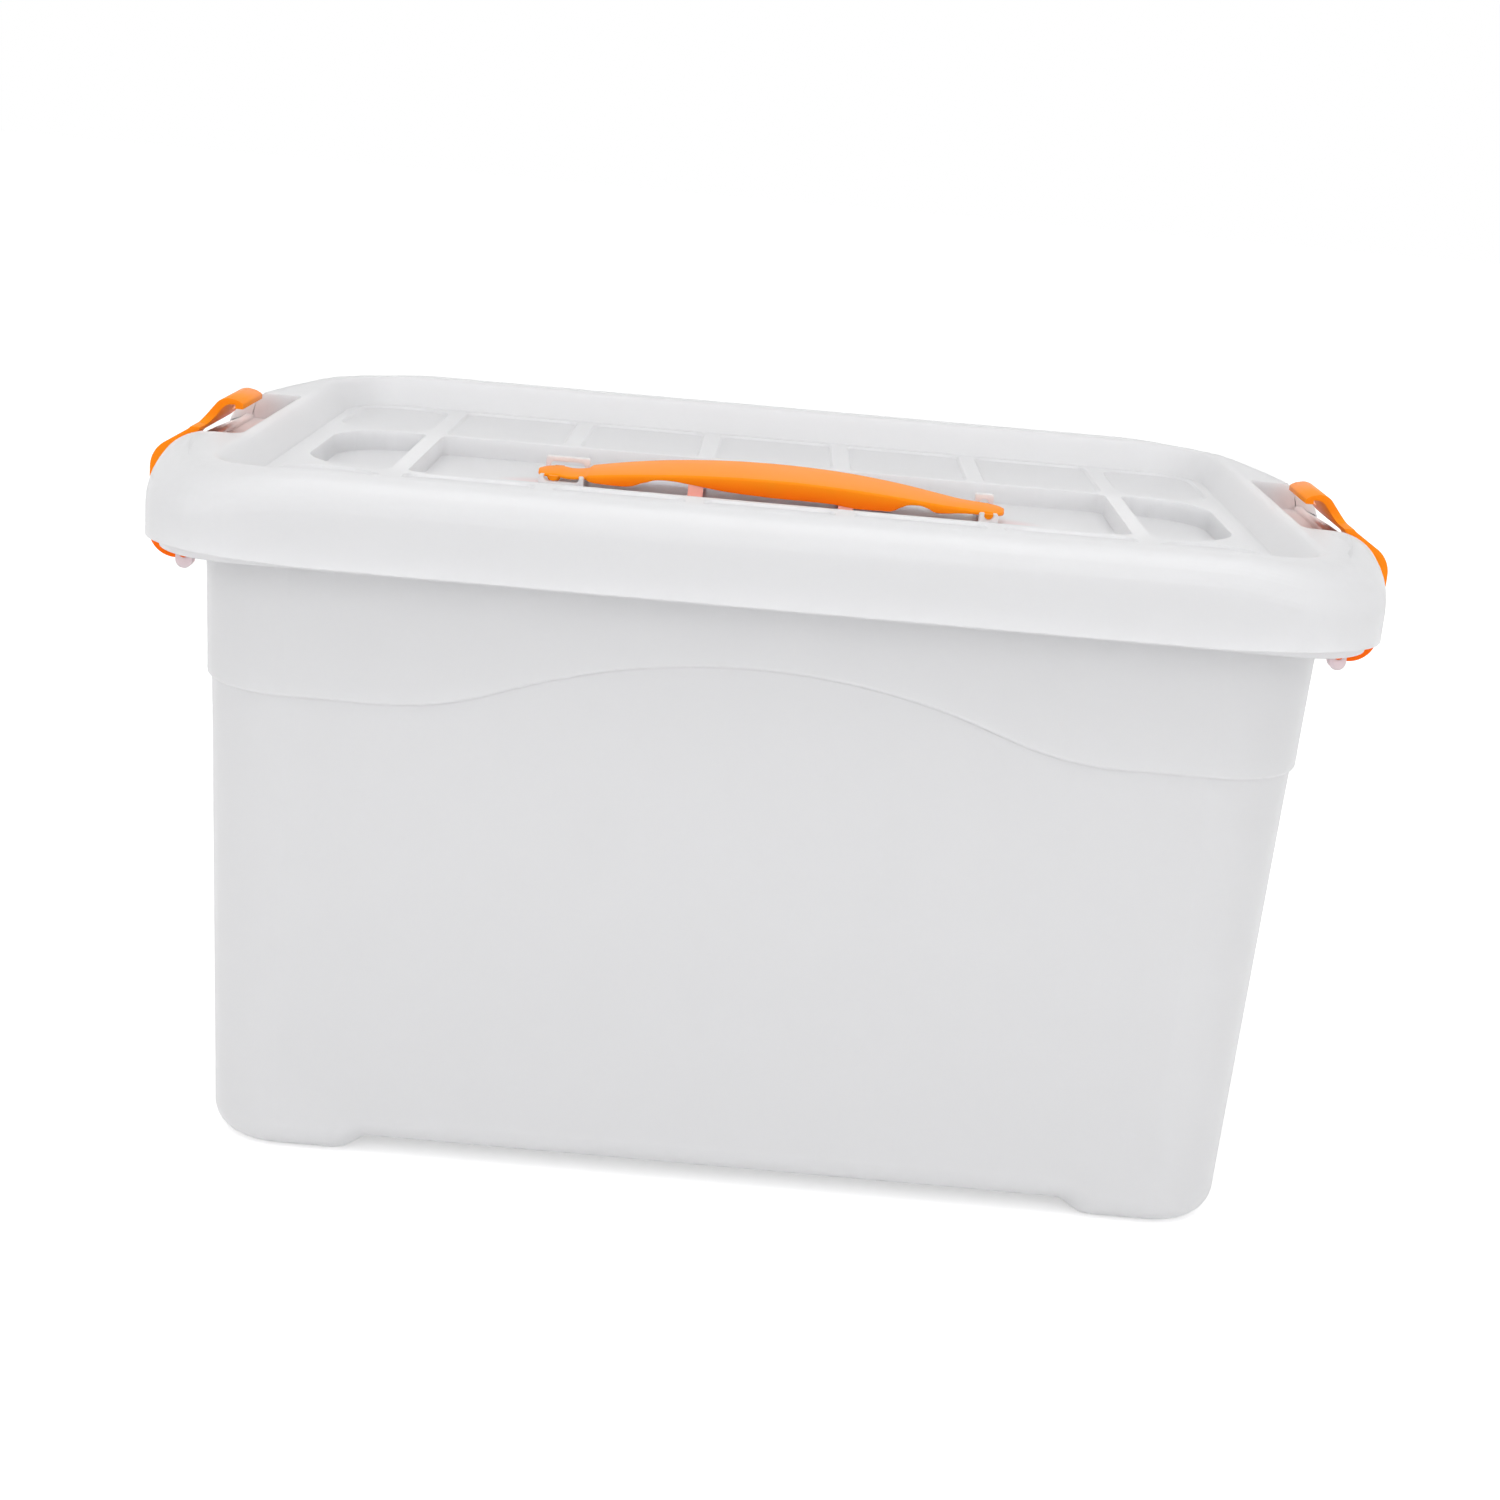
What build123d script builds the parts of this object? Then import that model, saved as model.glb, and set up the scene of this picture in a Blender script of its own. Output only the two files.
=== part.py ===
from build123d import *
import os
from math import atan, atan2, cos, degrees, hypot, pi, radians, sin, sqrt, tan

# A lidded storage box with two end latches and a strap handle, in millimetres.
# +X runs along the long side, +Y to the back and +Z up. The origin is at the bottom centre.

# Lid
lid_length = 356.0
lid_width = 230.0
lid_end_bow = 18.3
lid_corner_radius = 26.0
lid_top_height = 200.0
lid_skirt_depth = 24.0
lid_wall = 2.0
lid_crest_radius = 9.0
rim_inner_radius = 3.5
tray_end_inset = 28.0
tray_side_inset = 14.0
tray_corner_radius = 24.0
tray_depth = 9.5
tray_wall_run = 6.5
channel_end_inset = 13.0
channel_side_inset = 64.5
channel_corner_radius = 20.0
channel_depth = 6.0
channel_draft = 6.0
band_count = 6
band_width = 5.2
end_cell_length = 29.0
cell_corner_radius = 4.0
panel_depth = 0.8
panel_margin = 3.0

# Lid notch under each latch
notch_width = 86.0
notch_land = 2.0
notch_depth = 10.2
notch_edge_radius = 5.0
notch_corner_radius = 3.0
ridge_width = 3.0
ridge_height = 1.2
ridge_inset = 7.5

# Tub
tub_end_inset = 31.0
tub_side_inset = 22.5
base_corner_radius = 21.0
base_edge_radius = 8.0
tub_draft = 1.9
tub_wall = 1.8
wave_step = 1.2
wave_step_radius = 1.0
wave_low_height = 136.5
wave_crest_rise = 19.0
wave_crest_radius = 190.0
wave_flank_radius = 90.0
foot_height = 4.6
end_gap_drop = 0.3
foot_length = 46.5
foot_width = 44.5
foot_slope = 35.0
foot_toe_radius = 10.5
foot_root_radius = 4.0

# Tub rim
flange_drop = 16.0
flange_thickness = 2.0
flange_gap = 1.2
lip_thickness = 1.8
lip_drop = 7.0
upstand_inset = 9.5
upstand_thickness = 2.0
upstand_clearance = 0.3
upstand_end_gap = 1.0

# Latches
latch_width = 50.0
latch_thickness = 2.3
latch_pivot_inset = 6.8
latch_pivot_drop = 40.7
latch_barrel_radius = 2.7
latch_pin_radius = 1.6
latch_bulge = 4.9
latch_foot_radius = 8.0
latch_shoulder_drop = 11.8
latch_shoulder_radius = 9.0
latch_neck_inset = 6.4
latch_neck_drop = 4.6
latch_neck_radius = 8.0
pin_clearance = 0.05
latch_end_gap = 0.4
ear_thickness = 4.0
ear_tip_width = 5.0
ear_root_width = 7.0
ear_tip_drop = 4.8
tab_width = 26.0
tab_corner_radius = 3.0
tab_shoulder_drop = 4.0
tab_top_inset = 13.2
tab_top_rise = 4.0
tab_top_radius = 4.6
tab_nose_inset = 19.4
tab_nose_rise = 2.6
tab_nose_radius = 2.6
tab_tip_drop = 1.6

# Handle
handle_pitch = 131.0
handle_axis_rise = 3.9
handle_top_rise = 6.0
handle_arch_radius = 350.0
handle_middle_width = 34.0
handle_end_width = 22.0
handle_plate = 2.0
handle_side_wall = 2.0
handle_grip_gap = 4.0
handle_arm_gap = 3.0
handle_belly_radius = 184.0
handle_flex_place = 33.0
handle_flex_length = 12.0
handle_flex_web = 2.6
handle_flex_corner = 1.5
handle_flex_gap = 0.4
handle_fold = 18.0
handle_fold_spare = 1.0
handle_shoulder_place = 55.4
grip_foot_place = 22.5
grip_foot_width = 4.5
grip_foot_gap = 0.3
tongue_width = 18.0
tongue_length = 5.0
tongue_top_rise = 1.2
tongue_tip_drop = 0.6
tongue_tip_radius = 6.0
handle_barrel_radius = 2.1
handle_pin_radius = 1.4
post_thickness = 2.6
post_gap = 0.5
post_wall = 1.4
cradle_rise = 0.5
slot_outer_length = 1.4
slot_clearance = 0.5

# Places that follow from the sizes above
tray_length = lid_length - 2 * tray_end_inset
tray_width = lid_width - 2 * tray_side_inset
channel_length = tray_length - 2 * channel_end_inset
channel_width = tray_width - 2 * channel_side_inset
skirt_height = lid_top_height - lid_skirt_depth
shelf_height = lid_top_height - tray_depth
channel_floor = shelf_height - channel_depth
notch_floor = lid_top_height - notch_depth
notch_inner_place = tray_length / 2 + notch_land
base_length = lid_length - 2 * tub_end_inset
base_width = lid_width - 2 * tub_side_inset
flange_height = lid_top_height - flange_drop
flange_bottom = flange_height - flange_thickness
latch_pivot_x = lid_length / 2 - latch_pivot_inset
latch_pivot_height = lid_top_height - latch_pivot_drop
handle_axis_height = channel_floor + handle_axis_rise
handle_top_height = handle_axis_height + handle_top_rise
handle_grip_bottom = channel_floor + handle_grip_gap
handle_arm_bottom = channel_floor + handle_arm_gap
flex_height = handle_top_height - handle_arch_radius + sqrt(handle_arch_radius ** 2 - handle_flex_place ** 2)
arm_run = handle_pitch / 2 - handle_flex_place
arm_rise = flex_height - handle_axis_height
raised_angle = atan2(arm_rise, arm_run) + radians(handle_fold)
handle_slide = 2 * (arm_run - hypot(arm_run, arm_rise) * cos(raised_angle))
tall = lid_top_height * 2


def lid_outline(inset):
    # A rectangle with bowed ends and round corners, shrunk by the inset on every side.
    half_length = lid_length / 2 - inset
    half_corner = lid_length / 2 - lid_end_bow - inset
    half_width = lid_width / 2 - inset
    with BuildLine() as line:
        Line((-half_corner, half_width), (half_corner, half_width))
        ThreePointArc((half_corner, half_width), (half_length, 0), (half_corner, -half_width))
        Line((half_corner, -half_width), (-half_corner, -half_width))
        ThreePointArc((-half_corner, -half_width), (-half_length, 0), (-half_corner, half_width))
    face = make_face(line.line)
    return fillet(face.vertices(), lid_corner_radius - inset)


def lid_slab(inset, bottom, top):
    return extrude(Pos(0, 0, bottom) * lid_outline(inset), amount=top - bottom)


def box_between(x_low, x_high, y_low, y_high, z_low, z_high):
    size = (x_high - x_low, y_high - y_low, z_high - z_low)
    centre = ((x_low + x_high) / 2, (y_low + y_high) / 2, (z_low + z_high) / 2)
    return Pos(*centre) * Box(*size)


def wave_region(rise):
    # Everything above the moulded wave line: flat at the ends, an arch in the middle.
    low = wave_low_height + rise
    crest = low + wave_crest_rise
    reach = sqrt((wave_crest_radius + wave_flank_radius) ** 2
                 - (wave_crest_radius + wave_flank_radius - wave_crest_rise) ** 2)
    share = wave_crest_radius / (wave_crest_radius + wave_flank_radius)
    meet_x = reach * share
    crest_centre = crest - wave_crest_radius
    meet_z = crest_centre + (low + wave_flank_radius - crest_centre) * share
    flank_angle = pi / 4 * (1 - share)
    flank_x = reach - wave_flank_radius * sin(flank_angle)
    flank_z = low + wave_flank_radius * (1 - cos(flank_angle))
    far = lid_length
    with BuildLine(Plane.XZ) as line:
        Line((-far, low), (-reach, low))
        ThreePointArc((-reach, low), (-flank_x, flank_z), (-meet_x, meet_z))
        ThreePointArc((-meet_x, meet_z), (0, crest), (meet_x, meet_z))
        ThreePointArc((meet_x, meet_z), (flank_x, flank_z), (reach, low))
        Line((reach, low), (far, low))
        Polyline((far, low), (far, tall), (-far, tall), (-far, low))
    return extrude(make_face(line.line), amount=lid_width, both=True)


def drafted_block(length, width, radius, bottom, top):
    # The plan grows upwards by the tub's draft; the length and width are those at z = 0.
    grow = bottom * tan(radians(tub_draft))
    plan = RectangleRounded(length + 2 * grow, width + 2 * grow, radius + grow)
    return extrude(Pos(0, 0, bottom) * plan, amount=top - bottom, taper=-tub_draft)


def foot_gap(plane, half, height, grow):
    # The smoothly sloped gap between two feet, open downwards, seen along the plane's normal.
    top = height + grow
    run = height / tan(radians(foot_slope))
    far = half + run + foot_toe_radius
    toe = foot_toe_radius - grow
    root = foot_root_radius + grow
    with BuildLine(plane) as line:
        FilletPolyline((-far, grow), (-half - run, grow), (-half, top),
                       (half, top), (half + run, grow), (far, grow), radius=[toe, root, root, toe])
        Polyline((far, grow), (far, -height), (-far, -height), (-far, grow))
    return extrude(make_face(line.line), amount=lid_length, both=True)


def skin_edges(shape, length, width, low, high):
    # The edges in a range of heights that lie on the drafted outer skin.
    reach = base_edge_radius
    return [edge for edge in shape.edges() if low < edge.center().Z < high
            and (abs(edge.center().X) > length / 2 - reach or abs(edge.center().Y) > width / 2 - reach)]


def tub_form(inset, top):
    # The tub's outer skin with an inset of zero, and its cavity with the wall as the inset.
    length = base_length - 2 * inset
    width = base_width - 2 * inset
    radius = base_corner_radius - inset
    lower = drafted_block(length, width, radius, inset, top)
    lower -= foot_gap(Plane.XZ, base_length / 2 - foot_length, foot_height, inset)
    lower -= foot_gap(Plane.YZ, base_width / 2 - foot_width, foot_height - end_gap_drop, inset)
    rim = skin_edges(lower, length, width, inset - 1, foot_height + inset + 1)
    lower = fillet(rim, base_edge_radius - inset)
    step = 2 * wave_step
    upper = drafted_block(length + step, width + step, radius + wave_step, wave_low_height - step, top)
    upper &= wave_region(inset)
    if inset == 0:
        low = wave_low_height - 1
        upper = fillet(skin_edges(upper, length, width, low, low + wave_crest_rise + 2), wave_step_radius)
    return lower + upper


def latch_ear(side, end):
    # A lug under the rim's flange that carries one end of a latch's hinge pin.
    near = latch_width / 2 + latch_end_gap
    half = ear_tip_width / 2
    tip = latch_pivot_height - ear_tip_drop + half
    x = latch_pivot_x
    with BuildLine(Plane.XZ) as line:
        Polyline((x - half, tip), (x - ear_root_width, flange_bottom + 1),
                 (x + half, flange_bottom + 1), (x + half, tip))
        ThreePointArc((x + half, tip), (x, tip - half), (x - half, tip))
    lug = extrude(make_face(line.line), amount=ear_thickness, dir=(0, 1, 0))
    lug = Pos(0, near, 0) * lug
    axis = Pos(x, 0, latch_pivot_height) * Rot(90, 0, 0)
    lug -= axis * Cylinder(latch_pin_radius + pin_clearance, lid_width)
    lug = lug if end > 0 else mirror(lug, Plane.XZ)
    return lug if side > 0 else mirror(lug, Plane.YZ)


def make_tub():
    tub = tub_form(0, flange_height) + lid_slab(lid_wall + flange_gap, flange_bottom, flange_height)
    lip = lid_slab(lid_wall + flange_gap, flange_bottom - lip_drop, flange_height)
    lip -= lid_slab(lid_wall + flange_gap + lip_thickness, 0, tall)
    upstand = lid_slab(upstand_inset, flange_bottom, lid_top_height - lid_wall - upstand_clearance)
    upstand -= lid_slab(upstand_inset + upstand_thickness, 0, tall)
    latch_gap = notch_width / 2 + lid_wall + upstand_end_gap
    upstand -= box_between(-lid_length, lid_length, -latch_gap, latch_gap, flange_height, tall)
    tub += lip + upstand
    tub -= tub_form(tub_wall, flange_height + 1)
    for side in (-1, 1):
        for end in (-1, 1):
            tub += latch_ear(side, end)
    return tub


def tray_form(grow):
    # The sunken top of the lid, from its flat shelf up to the rim.
    slope = tray_wall_run / tray_depth
    drop = grow
    side = grow * (sqrt(1 + slope ** 2) - slope)
    bottom = shelf_height - drop
    length = tray_length - 2 * tray_wall_run + 2 * side
    width = tray_width - 2 * tray_wall_run + 2 * side
    plan = RectangleRounded(length, width, tray_corner_radius - tray_wall_run + side)
    return extrude(Pos(0, 0, bottom) * plan, amount=tray_depth + drop + 1, taper=-degrees(atan(slope)))


def band_places():
    # The outer two bands close off an end cell of the channel, and the others are evenly between.
    outer = channel_length / 2 - end_cell_length
    return [outer * (2 * index / (band_count - 1) - 1) for index in range(band_count)]


def channel_form(grow):
    # The deeper middle of the tray, which the handle lies in. The outer two bands cross it.
    depth = channel_depth + grow
    shrink = channel_depth * tan(radians(channel_draft)) - grow
    length = channel_length - 2 * shrink
    width = channel_width - 2 * shrink
    plan = RectangleRounded(length, width, channel_corner_radius - shrink)
    channel = extrude(Pos(0, 0, channel_floor - grow) * plan, amount=depth + 1, taper=-channel_draft)
    if grow:
        return channel
    outer = band_places()[-1]
    for x in (-outer, outer):
        band = box_between(x - band_width / 2, x + band_width / 2, -lid_width, lid_width, 0, tall)
        channel -= band
    corners = [edge for edge in channel.edges() if abs(edge.center().X) < outer + band_width
               and edge.length < 2 * depth and abs(edge.center().Y) > channel_width / 4]
    return fillet(corners, cell_corner_radius)


def shelf_panels():
    # Shallow recesses between the raised bands, on the shelf behind and before the channel.
    places = band_places()
    shelf_half = tray_length / 2 - tray_wall_run - panel_margin
    edges = [-shelf_half] + places + [shelf_half]
    y_low = channel_width / 2 + panel_margin
    y_high = tray_width / 2 - tray_wall_run - panel_margin / 2
    panels = []
    for left, right in zip(edges, edges[1:]):
        x_low = left + (band_width / 2 if left in places else 0)
        x_high = right - (band_width / 2 if right in places else 0)
        radius = cell_corner_radius if left in places and right in places else tray_corner_radius / 2
        length = x_high - x_low - 2 * panel_depth
        width = y_high - y_low - 2 * panel_depth
        for side in (-1, 1):
            plan = RectangleRounded(length, width, radius - panel_depth)
            place = Pos((x_low + x_high) / 2, side * (y_low + y_high) / 2, shelf_height - panel_depth)
            panels.append(extrude(place * plan, amount=2 * panel_depth, taper=-45))
    return panels


def notch_form(side, grow):
    # The seat that the latch lies in, cut through the end of the rim.
    low = notch_inner_place - grow
    high = lid_length
    half = notch_width / 2 + grow
    cut = box_between(low, high, -half, half, notch_floor - grow, tall)
    cut = fillet(cut.edges().filter_by(Axis.Z).sort_by(Axis.X)[0:2], notch_corner_radius)
    return cut if side > 0 else mirror(cut, Plane.YZ)


def notch_outer_edges(shape, height):
    # The long edge where each notch's floor meets the end of the lid.
    return [edge for edge in shape.edges() if abs(edge.center().Z - height) < 0.01
            and abs(edge.center().X) > lid_length / 2 - lid_wall - 1 and edge.length > latch_width]


def tray_mouth_edges(shape):
    # The inner edge of the rim, all the way round the tray's mouth.
    return [edge for edge in shape.edges() if abs(edge.center().Z - lid_top_height) < 0.01
            and abs(edge.center().X) < tray_length / 2 + 0.01
            and abs(edge.center().Y) < tray_width / 2 + 0.01]


def notch_ridge(side):
    # The raised lip along the notch's outer edge, behind which the latch takes hold.
    outer = lid_length / 2 - ridge_inset
    half = notch_width / 2 + lid_wall / 2
    ridge = box_between(outer - ridge_width, outer, -half, half,
                        notch_floor - lid_wall, notch_floor + ridge_height)
    top = ridge.edges().filter_by(Axis.Y).group_by(Axis.Z)[-1]
    ridge = fillet(top, min(ridge_width / 2, ridge_height) * 0.8)
    return ridge if side > 0 else mirror(ridge, Plane.YZ)


def handle_post(side, end):
    # A post beside the handle's end, with a slot on the left and a round hole on the right. The back
    # ones close over the pin, and the front ones are low cradles that the pin snaps into.
    x = handle_pitch / 2
    near = tongue_width / 2 + post_gap
    radius = handle_pin_radius + pin_clearance
    low = x - handle_slide - slot_clearance if side < 0 else x
    high = x + slot_outer_length if side < 0 else x
    top = handle_axis_height + (radius + post_wall if end > 0 else cradle_rise)
    post = box_between(low - radius - post_wall, high + radius + post_wall, near, near + post_thickness,
                       channel_floor - lid_wall / 2, top)
    post = fillet(post.edges().filter_by(Axis.Y).group_by(Axis.Z)[-1], post_wall / 2)
    for place in (low, high):
        post -= Pos(place, 0, handle_axis_height) * Rot(90, 0, 0) * Cylinder(radius, lid_width)
    if side < 0:
        post -= box_between(low, high, -lid_width, lid_width,
                            handle_axis_height - radius, handle_axis_height + radius)
    post = post if end > 0 else mirror(post, Plane.XZ)
    return post if side > 0 else mirror(post, Plane.YZ)


def make_lid():
    shell = lid_slab(0, skirt_height, lid_top_height)
    crest = shell.edges().group_by(Axis.Z)[-1]
    shell = fillet(crest, lid_crest_radius)
    hollow = lid_slab(lid_wall, skirt_height - 1, lid_top_height - lid_wall)
    hollow = fillet(hollow.edges().group_by(Axis.Z)[-1], lid_crest_radius - lid_wall)
    hollow -= tray_form(lid_wall)
    hollow -= channel_form(lid_wall)
    shell -= tray_form(0)
    shell = fillet(tray_mouth_edges(shell), rim_inner_radius)
    for side in (-1, 1):
        hollow -= notch_form(side, lid_wall)
        shell -= notch_form(side, 0)
    shell = fillet(notch_outer_edges(shell, notch_floor), notch_edge_radius)
    hollow = fillet(notch_outer_edges(hollow, notch_floor - lid_wall), notch_edge_radius - lid_wall)
    lid = shell - hollow
    for panel in shelf_panels():
        lid -= panel
    lid -= channel_form(0)
    for side in (-1, 1):
        lid += notch_ridge(side) & lid_slab(0, 0, tall)
        for end in (-1, 1):
            lid += handle_post(side, end)
    return lid


def latch_profile():
    # The right latch's side view: it bows outward from the hinge, folds in over the rim and ends
    # in a curled finger tab. The path runs along its outer face.
    foot = latch_pivot_height - latch_barrel_radius
    end = lid_length / 2
    top = lid_top_height
    tip = end - tab_nose_inset
    with BuildLine(Plane.XZ) as line:
        path = FilletPolyline((latch_pivot_x, foot), (end + latch_bulge, foot),
                              (end + latch_bulge, top - latch_shoulder_drop),
                              (end - latch_neck_inset, top - latch_neck_drop),
                              (end - tab_top_inset, top + tab_top_rise),
                              (tip, top + tab_nose_rise), (tip, top - tab_tip_drop),
                              radius=[latch_foot_radius, latch_shoulder_radius, latch_neck_radius,
                                      tab_top_radius, tab_nose_radius])
        offset(path, amount=latch_thickness, side=Side.RIGHT)
    return make_face(line.line)


def make_latch(side):
    latch = extrude(latch_profile(), amount=latch_width / 2, both=True)
    # Beside the finger tab the latch stops short, so that only the tab stands above the rim.
    shoulder = lid_top_height - tab_shoulder_drop
    for end in (-1, 1):
        cut = box_between(0, lid_length, tab_width / 2, latch_width, shoulder, tall)
        cut = fillet(cut.edges().filter_by(Axis.X).group_by(Axis.Z)[0].sort_by(Axis.Y)[0], tab_corner_radius)
        latch -= cut if end > 0 else mirror(cut, Plane.XZ)
    barrel = Pos(latch_pivot_x, 0, latch_pivot_height) * Rot(90, 0, 0)
    latch += barrel * Cylinder(latch_barrel_radius, latch_width)
    pin_length = latch_width + 2 * (latch_end_gap + ear_thickness)
    latch += barrel * Cylinder(latch_pin_radius, pin_length)
    return latch if side > 0 else mirror(latch, Plane.YZ)


def handle_plan(shrink):
    # The strap seen from above: widest in the middle, narrower at its shoulders.
    half_middle = handle_middle_width / 2 - shrink
    half_end = handle_end_width / 2 - shrink
    x = handle_shoulder_place
    with BuildLine() as line:
        ThreePointArc((-x, half_end), (0, half_middle), (x, half_end))
        Line((x, half_end), (x, -half_end))
        ThreePointArc((x, -half_end), (0, -half_middle), (-x, -half_end))
        Line((-x, -half_end), (-x, half_end))
    return extrude(make_face(line.line), amount=tall)


def arch_height(x):
    return handle_top_height - handle_arch_radius + sqrt(handle_arch_radius ** 2 - x ** 2)


def below_arch(drop):
    centre = handle_top_height - handle_arch_radius
    return Pos(0, 0, centre) * Rot(90, 0, 0) * Cylinder(handle_arch_radius - drop, lid_width)


def make_strap():
    # One arched strap with side walls, cut away at the two places where it flexes.
    x = handle_shoulder_place
    flex = handle_flex_place
    body = handle_plan(0) & below_arch(0) & box_between(-x, x, -lid_width, lid_width, handle_arm_bottom, tall)
    belly_centre = Pos(0, 0, handle_grip_bottom + handle_belly_radius)
    belly = belly_centre * Rot(90, 0, 0) * Cylinder(handle_belly_radius, lid_width)
    body -= box_between(-flex, flex, -lid_width, lid_width, 0, handle_top_height - handle_plate) - belly
    inside = handle_plan(handle_side_wall) & below_arch(handle_plate)
    body -= inside & box_between(-x, x, -lid_width, lid_width, 0, tall)
    for side in (-1, 1):
        half = handle_flex_length / 2
        web_bottom = arch_height(flex) - handle_flex_web
        cut = box_between(side * flex - half, side * flex + half, -lid_width, lid_width, 0, web_bottom)
        body -= fillet(cut.edges().filter_by(Axis.Y).group_by(Axis.Z)[-1], handle_flex_corner)
        body += grip_feet(side)
        body += strap_end(side)
    return body


def grip_feet(side):
    # Two small feet under the grip's side walls, just clear of the channel's floor.
    x = side * grip_foot_place
    half = grip_foot_width / 2
    bottom = channel_floor + grip_foot_gap
    top = arch_height(x) - handle_plate / 2
    feet = handle_plan(0) - handle_plan(handle_side_wall)
    return feet & box_between(x - half, x + half, -lid_width, lid_width, bottom, top)


def strap_end(side):
    # The narrow tongue with its half-round barrel, and the hinge pins that stand in the lid's posts.
    x = handle_pitch / 2
    near = handle_shoulder_place - handle_side_wall
    tip = x + tongue_length
    top = handle_axis_height + tongue_top_rise
    half = tongue_width / 2
    axis = Pos(x, 0, handle_axis_height) * Rot(90, 0, 0)
    with BuildLine(Plane.XZ) as line:
        Polyline((near, arch_height(near)), (x, top), (tip, top - tongue_tip_drop), (tip, handle_axis_height),
                 (near, handle_arm_bottom + handle_side_wall), (near, arch_height(near)))
    tongue = extrude(make_face(line.line), amount=half, both=True)
    barrel = axis * Cylinder(handle_barrel_radius, tongue_width)
    tongue += barrel & box_between(near, tip, -half, half, 0, top)
    tongue = fillet(tongue.edges().filter_by(Axis.Z).group_by(Axis.X)[-1], tongue_tip_radius)
    tongue += axis * Cylinder(handle_pin_radius, tongue_width + 2 * (post_gap + post_thickness))
    return tongue if side > 0 else mirror(tongue, Plane.YZ)


def flex_cut(side):
    # A narrow gap at the top that widens downwards by the angle of the fold.
    x = side * handle_flex_place
    top = arch_height(handle_flex_place) + 1
    bottom = handle_arm_bottom - 1
    half_top = handle_flex_gap / 2
    half_bottom = half_top + (top - bottom) * tan(radians(handle_fold / 2 + handle_fold_spare))
    with BuildLine(Plane.XZ) as line:
        Polyline((x - half_top, top), (x + half_top, top), (x + half_bottom, bottom),
                 (x - half_bottom, bottom), (x - half_top, top))
    return extrude(make_face(line.line), amount=lid_width, both=True)


def make_handle():
    strap = make_strap() - flex_cut(-1) - flex_cut(1)
    left, grip, right = strap.solids().sort_by(Axis.X)
    return left, grip, right


def single(shape, name):
    solids = shape.solids()
    if len(solids) != 1:
        print(name, "has", len(solids), "solids")
    solid = solids.sort_by(SortBy.VOLUME)[-1]
    solid.label = name
    return solid


def main():
    os.makedirs("parts", exist_ok=True)
    left_arm, grip, right_arm = make_handle()
    nodes = {
        "tub": make_tub(),
        "lid": make_lid(),
        "left_latch": make_latch(-1),
        "right_latch": make_latch(1),
        "handle_left_arm": left_arm,
        "handle_grip": grip,
        "handle_right_arm": right_arm,
    }
    for name, shape in nodes.items():
        export_step(single(shape, name), f"parts/{name}.step")


main()
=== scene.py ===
import math
import bmesh
import bpy
from mathutils import Matrix, Vector


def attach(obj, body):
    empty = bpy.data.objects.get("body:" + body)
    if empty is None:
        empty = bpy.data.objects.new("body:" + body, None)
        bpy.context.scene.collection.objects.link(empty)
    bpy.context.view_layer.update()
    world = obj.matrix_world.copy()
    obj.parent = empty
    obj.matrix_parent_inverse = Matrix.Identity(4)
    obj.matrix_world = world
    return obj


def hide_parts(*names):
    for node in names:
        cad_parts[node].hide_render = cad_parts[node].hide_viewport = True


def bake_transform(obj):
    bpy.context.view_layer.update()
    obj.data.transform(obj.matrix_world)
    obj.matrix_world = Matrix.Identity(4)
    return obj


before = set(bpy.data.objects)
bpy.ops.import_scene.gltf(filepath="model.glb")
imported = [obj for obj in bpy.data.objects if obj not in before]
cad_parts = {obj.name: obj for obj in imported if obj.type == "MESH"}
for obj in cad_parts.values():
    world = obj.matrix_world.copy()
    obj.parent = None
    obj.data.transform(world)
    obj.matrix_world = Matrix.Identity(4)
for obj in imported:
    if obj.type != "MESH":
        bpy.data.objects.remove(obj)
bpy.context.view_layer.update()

# the box's own values are in millimetres and degrees, those of the studio in metres and degrees
mm = 0.001
weld = 0.002  # mm, points of a CAD mesh that lie closer are one


def srgb(hexCode):
    # hex colour to the linear values that the shaders take
    parts = [int(hexCode[i:i + 2], 16) / 255 for i in (1, 3, 5)]
    return tuple(c / 12.92 if c <= 0.04045 else ((c + 0.055) / 1.055) ** 2.4 for c in parts) + (1.0,)


def addNode(tree, kind, settings=None, links=None):
    # settings are attributes or input values, links are {input: output socket}
    node = tree.nodes.new(kind)
    for key, value in (settings or {}).items():
        if isinstance(key, str) and hasattr(node, key):
            setattr(node, key, value)
        else:
            node.inputs[key].default_value = value
    for key, socket in (links or {}).items():
        tree.links.new(socket, node.inputs[key])
    return node


def smoothShare(value, low, high):
    # 0 at low, 1 at high, with a soft start and end
    share = min(max((value - low) / (high - low), 0.0), 1.0)
    return share * share * (3 - 2 * share)


def smoothUnlessSharp(work, degrees):
    # shades a mesh smooth, apart from the edges that turn by more than this
    for face in work.faces:
        face.smooth = True
    for line in work.edges:
        if len(line.link_faces) == 2 and line.calc_face_angle() > math.radians(degrees):
            line.smooth = False


def newMaterial(name):
    material = bpy.data.materials.new(name)
    material.use_nodes = True
    material.node_tree.nodes.clear()
    return material, material.node_tree


def newPiece(name, mesh, material):
    piece = bpy.data.objects.new(name, mesh)
    bpy.context.collection.objects.link(piece)
    mesh.materials.clear()
    mesh.materials.append(material)
    return piece


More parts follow.
